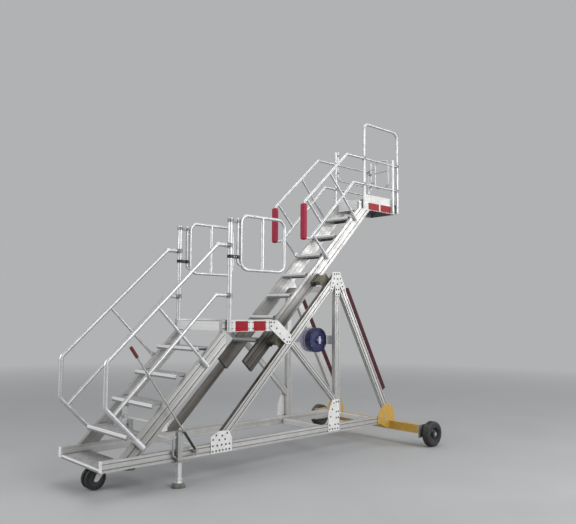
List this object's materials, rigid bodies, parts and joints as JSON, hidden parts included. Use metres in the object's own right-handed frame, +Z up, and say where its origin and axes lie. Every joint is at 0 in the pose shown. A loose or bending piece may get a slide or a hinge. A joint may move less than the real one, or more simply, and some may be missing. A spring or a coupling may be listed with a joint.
{
  "type": "variable height access platform",
  "caption": "Wheeled maintenance stair with a fixed flight and landing, and a narrower flight with a guarded top platform that slides up the slope of two inclined beams.",
  "frame": {"origin": "on the floor, at the middle of the overall length and width", "axes": "+X from the foot of the stairs towards the axle and the top platform, +Y to the left looking up the stairs, +Z up"},
  "size_m": [4.376, 2.019, 4.081],
  "materials": {
    "structure": "satin mill finish",
    "treads": "ribbed, satin",
    "plates": "satin white",
    "steel": "zinc plated",
    "yellow": "gloss",
    "navy": "gloss",
    "pale": "satin",
    "pad": "soft foam cover",
    "maroon": "rubber strip",
    "red": "satin",
    "dark": "matte",
    "tyre": "solid rubber"
  },
  "bodies": {
    "base_frame": {"base_rails": "structure", "cross_members": "structure", "front_deck": "structure", "inclined_beams": "structure", "tower_posts": "structure", "rear_braces": "structure", "tower_diagonals": "structure", "lower_stringers": "structure", "landing_sides": "structure", "landing_deck": "structure", "winch_beam": "structure", "landing_posts": "structure", "lower_top_rails": "structure", "lower_mid_rails": "structure", "lower_struts": "structure", "jack_tubes": "structure", "stair_tie": "structure", "lower_treads": "treads", "frame_gussets": "plates", "landing_brackets": "plates", "axle_ends": "steel", "castor_plate": "steel", "guide_brackets": "steel", "lever": "steel", "rail_fittings": "steel", "axle_beam": "yellow", "axle_gussets": "yellow", "winch_housing": "navy", "winch_drum": "pale", "brace_pads": "maroon", "lever_grip": "red", "guide_shoes": "dark", "gate_clamps": "dark"},
    "jack_foot_near": {"jack_foot_near": "steel"},
    "jack_foot_far": {"jack_foot_far": "steel"},
    "castor_fork": {"castor_fork": "steel"},
    "castor_wheels": {"castor_tyres": "tyre", "castor_hubs": "dark"},
    "rear_wheel_near": {"rear_tyre_near": "tyre", "rear_rim_near": "dark"},
    "rear_wheel_far": {"rear_tyre_far": "tyre", "rear_rim_far": "dark"},
    "landing_gate_near": {"landing_gate_near": "structure"},
    "landing_gate_far": {"landing_gate_far": "structure"},
    "sliding_flight": {"upper_stringers": "structure", "upper_treads": "treads", "platform_sides": "structure", "platform_deck": "structure", "toe_boards": "plates", "guard_posts": "structure", "guard_rails": "structure", "guard_fittings": "steel", "upper_handrails": "structure", "upper_struts": "structure", "rail_pads": "pad"},
    "hoop_near": {"hoop_near": "structure"},
    "side_gate": {"side_gate": "structure"},
    "platform_gate": {"platform_gate": "structure"}
  },
  "joints": [
    {"name": "flight_slide", "type": "slide", "parent": "base_frame", "child": "sliding_flight", "axis": [0.7071, 0, 0.7071], "range_m": [-0.75, 0.2]},
    {"name": "near_gate_hinge", "type": "hinge", "parent": "base_frame", "child": "landing_gate_near", "pos_m": [-0.761, -0.454, 2.3], "axis": [0, 0, -1], "range_deg": [0, 90]},
    {"name": "far_gate_hinge", "type": "hinge", "parent": "base_frame", "child": "landing_gate_far", "pos_m": [-0.761, 0.454, 2.3], "axis": [0, 0, 1], "range_deg": [0, 90]},
    {"name": "near_hoop_slide", "type": "slide", "parent": "sliding_flight", "child": "hoop_near", "axis": [0, 0, 1], "range_m": [-0.15, 0]},
    {"name": "side_gate_hinge", "type": "hinge", "parent": "sliding_flight", "child": "side_gate", "pos_m": [1.549, 0.285, 3.6], "axis": [0, 0, 1], "range_deg": [0, 90]},
    {"name": "platform_gate_hinge", "type": "hinge", "parent": "sliding_flight", "child": "platform_gate", "pos_m": [2.154, 0.208, 3.5], "axis": [0, 0, -1], "range_deg": [0, 90]},
    {"name": "castor_swivel", "type": "hinge", "parent": "base_frame", "child": "castor_fork", "pos_m": [-1.966, 0, 0.22], "axis": [0, 0, 1], "continuous": true},
    {"name": "castor_wheel_spin", "type": "hinge", "parent": "castor_fork", "child": "castor_wheels", "pos_m": [-2.026, 0, 0.1], "axis": [0, 1, 0], "continuous": true},
    {"name": "rear_wheel_near_spin", "type": "hinge", "parent": "base_frame", "child": "rear_wheel_near", "pos_m": [1.894, -0.95, 0.15], "axis": [0, 1, 0], "continuous": true},
    {"name": "rear_wheel_far_spin", "type": "hinge", "parent": "base_frame", "child": "rear_wheel_far", "pos_m": [1.894, 0.95, 0.15], "axis": [0, 1, 0], "continuous": true},
    {"name": "jack_near_slide", "type": "slide", "parent": "base_frame", "child": "jack_foot_near", "axis": [0, 0, 1], "range_m": [0, 0.12]},
    {"name": "jack_far_slide", "type": "slide", "parent": "base_frame", "child": "jack_foot_far", "axis": [0, 0, 1], "range_m": [0, 0.12]}
  ]
}
